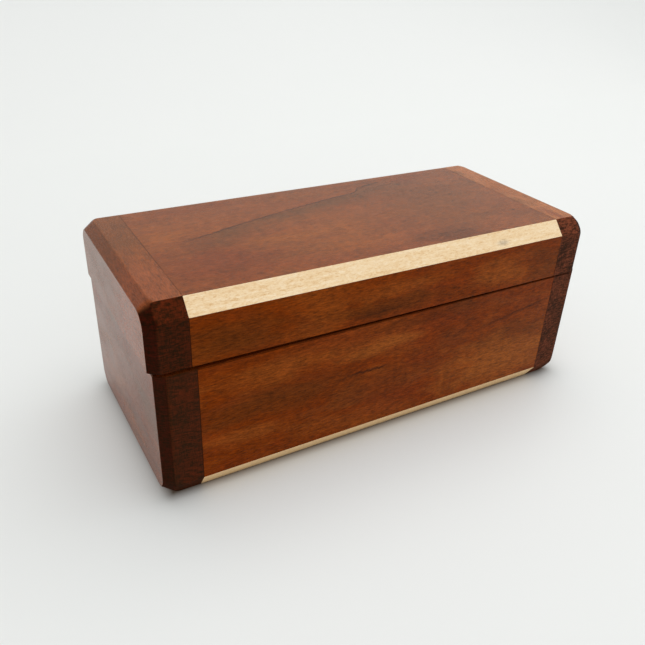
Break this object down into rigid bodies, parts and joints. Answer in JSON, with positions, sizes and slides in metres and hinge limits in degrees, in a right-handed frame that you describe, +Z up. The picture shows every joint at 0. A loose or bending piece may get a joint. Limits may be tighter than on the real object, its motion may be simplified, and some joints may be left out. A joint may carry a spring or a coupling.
{
  "type": "inlaid wooden box",
  "caption": "Small lidded keepsake box in reddish hardwood with thick end-grain end boards, pale inlaid strips in its bevelled long edges, and a back-hinged lid.",
  "frame": {"origin": "centre of the body's rectangular footprint, on the surface the box stands on", "axes": "+X along the box's length, +Z up, the front of the box faces -Y and the hinges are on the +Y side"},
  "size_m": [0.2045, 0.0956, 0.083],
  "materials": {
    "cherry_long_board": "satin clear-coated reddish hardwood, grain along the box",
    "cherry_end_board": "satin clear-coated reddish hardwood, grain across the box, dark end grain on the long sides",
    "maple": "satin clear-coated pale hardwood, fine grain along the strip",
    "brass": "brushed, lightly aged",
    "felt": "short matted felt"
  },
  "bodies": {
    "body": {"body_back_inlay": "maple", "body_back_wall": "cherry_long_board", "body_floor_panel": "cherry_long_board", "body_front_inlay": "maple", "body_front_wall": "cherry_long_board", "body_left_end_board": "cherry_end_board", "body_right_end_board": "cherry_end_board", "floor_lining": "felt", "left_hinge_body_bar": "brass", "left_hinge_body_screws": "brass", "left_hinge_pin": "brass", "right_hinge_body_bar": "brass", "right_hinge_body_screws": "brass", "right_hinge_pin": "brass"},
    "lid": {"left_hinge_lid_bar": "brass", "left_hinge_lid_screws": "brass", "lid_back_inlay": "maple", "lid_back_wall": "cherry_long_board", "lid_front_inlay": "maple", "lid_front_wall": "cherry_long_board", "lid_left_end_board": "cherry_end_board", "lid_right_end_board": "cherry_end_board", "lid_top_panel": "cherry_long_board", "right_hinge_lid_bar": "brass", "right_hinge_lid_screws": "brass"}
  },
  "joints": [
    {"name": "lid_hinge", "type": "hinge", "parent": "body", "child": "lid", "pos_m": [0, 0.0465, 0.05685], "axis": [-1, 0, 0], "range_deg": [0, 95]}
  ]
}
